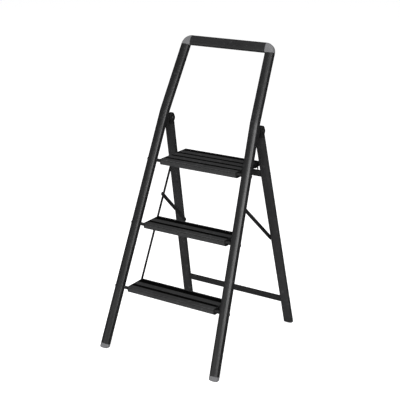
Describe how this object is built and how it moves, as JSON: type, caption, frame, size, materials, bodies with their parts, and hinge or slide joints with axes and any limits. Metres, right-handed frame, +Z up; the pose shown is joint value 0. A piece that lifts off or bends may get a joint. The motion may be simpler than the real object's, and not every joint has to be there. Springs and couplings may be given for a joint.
{
  "type": "step stool",
  "caption": "Folding step stool with flat treads between leaning tubular rails, a high bar handle, a hinged rear frame, tie rods and brace links.",
  "frame": {"origin": "on the floor at the middle of the stool's outer size, standing open", "axes": "+Z up, the side that is climbed faces -Y, +X to the right as seen from the front"},
  "size_m": [0.5518, 0.6236, 1.1771],
  "materials": {
    "tube_aluminium": "satin",
    "tread_aluminium": "satin",
    "black_steel": "satin",
    "black_plastic": "matte",
    "grey_plastic": "matte",
    "grip_rubber": "matte"
  },
  "bodies": {
    "front_frame": {"rail_left": "tube_aluminium", "rail_right": "tube_aluminium", "handle_bar": "tube_aluminium", "elbow_left": "grey_plastic", "elbow_right": "grey_plastic", "front_foot_left": "grey_plastic", "front_foot_right": "grey_plastic", "hinge_bracket_left": "black_steel", "hinge_bracket_right": "black_steel", "hinge_pins": "black_steel", "top_step_pins": "black_steel", "middle_step_pins": "black_steel", "lower_step_pins": "black_steel"},
    "rear_frame": {"rear_leg_left": "tube_aluminium", "rear_leg_right": "tube_aluminium", "rear_hinge_cap_left": "black_plastic", "rear_hinge_cap_right": "black_plastic", "rear_foot_left": "grey_plastic", "rear_foot_right": "grey_plastic", "rear_upper_crossbar": "tube_aluminium", "rear_lower_crossbar": "tube_aluminium", "upper_crossbar_rivets": "black_steel", "lower_crossbar_rivets": "black_steel"},
    "top_step": {"top_step_tread": "tread_aluminium", "top_step_grip_strips": "grip_rubber", "top_step_cap_left": "black_plastic", "top_step_cap_right": "black_plastic", "top_rod_pins": "black_steel", "lock_hook_left": "black_steel", "lock_hook_right": "black_steel"},
    "middle_step": {"middle_step_tread": "tread_aluminium", "middle_step_grip_strips": "grip_rubber", "middle_step_cap_left": "black_plastic", "middle_step_cap_right": "black_plastic", "middle_rod_pins": "black_steel"},
    "lower_step": {"lower_step_tread": "tread_aluminium", "lower_step_grip_strips": "grip_rubber", "lower_step_cap_left": "black_plastic", "lower_step_cap_right": "black_plastic", "lower_rod_pins": "black_steel"},
    "tie_rod_left": {"tie_rod_left": "black_steel", "rod_rivet_left": "black_steel"},
    "tie_rod_right": {"tie_rod_right": "black_steel", "rod_rivet_right": "black_steel"},
    "brace_left": {"brace_link_left": "black_steel", "brace_rivet_left": "black_steel"},
    "brace_right": {"brace_link_right": "black_steel", "brace_rivet_right": "black_steel"}
  },
  "joints": [
    {"name": "rear_frame_fold", "type": "hinge", "parent": "front_frame", "child": "rear_frame", "pos_m": [0, 0.1038, 0.861], "axis": [-1, 0, 0], "range_deg": [0, 35]},
    {"name": "top_step_fold", "type": "hinge", "parent": "front_frame", "child": "top_step", "pos_m": [0, -0.00327, 0.7115], "axis": [1, 0, 0], "range_deg": [0, 62.2]},
    {"name": "middle_step_fold", "type": "hinge", "parent": "front_frame", "child": "middle_step", "pos_m": [0, -0.10308, 0.4715], "axis": [1, 0, 0], "range_deg": [0, 62.2]},
    {"name": "lower_step_fold", "type": "hinge", "parent": "front_frame", "child": "lower_step", "pos_m": [0, -0.20288, 0.2315], "axis": [1, 0, 0], "range_deg": [0, 62.2]},
    {"name": "tie_rod_left_pivot", "type": "hinge", "parent": "top_step", "child": "tie_rod_left", "pos_m": [0, 0.08973, 0.706], "axis": [-1, 0, 0], "range_deg": [0, 62.2]},
    {"name": "brace_left_pivot", "type": "hinge", "parent": "tie_rod_left", "child": "brace_left", "pos_m": [0, 0.02985, 0.562], "axis": [-1, 0, 0], "range_deg": [0, 63.2]},
    {"name": "tie_rod_right_pivot", "type": "hinge", "parent": "top_step", "child": "tie_rod_right", "pos_m": [0, 0.08973, 0.706], "axis": [-1, 0, 0], "range_deg": [0, 62.2]},
    {"name": "brace_right_pivot", "type": "hinge", "parent": "tie_rod_right", "child": "brace_right", "pos_m": [0, 0.02985, 0.562], "axis": [-1, 0, 0], "range_deg": [0, 63.2]}
  ],
  "couplings": [
    {"joint": "top_step_fold", "follows": "rear_frame_fold", "ratio": 1.7714},
    {"joint": "middle_step_fold", "follows": "rear_frame_fold", "ratio": 1.7714},
    {"joint": "lower_step_fold", "follows": "rear_frame_fold", "ratio": 1.7714},
    {"joint": "tie_rod_left_pivot", "follows": "rear_frame_fold", "ratio": 1.7714},
    {"joint": "brace_left_pivot", "follows": "rear_frame_fold", "ratio": 1.8},
    {"joint": "tie_rod_right_pivot", "follows": "rear_frame_fold", "ratio": 1.7714},
    {"joint": "brace_right_pivot", "follows": "rear_frame_fold", "ratio": 1.8}
  ]
}
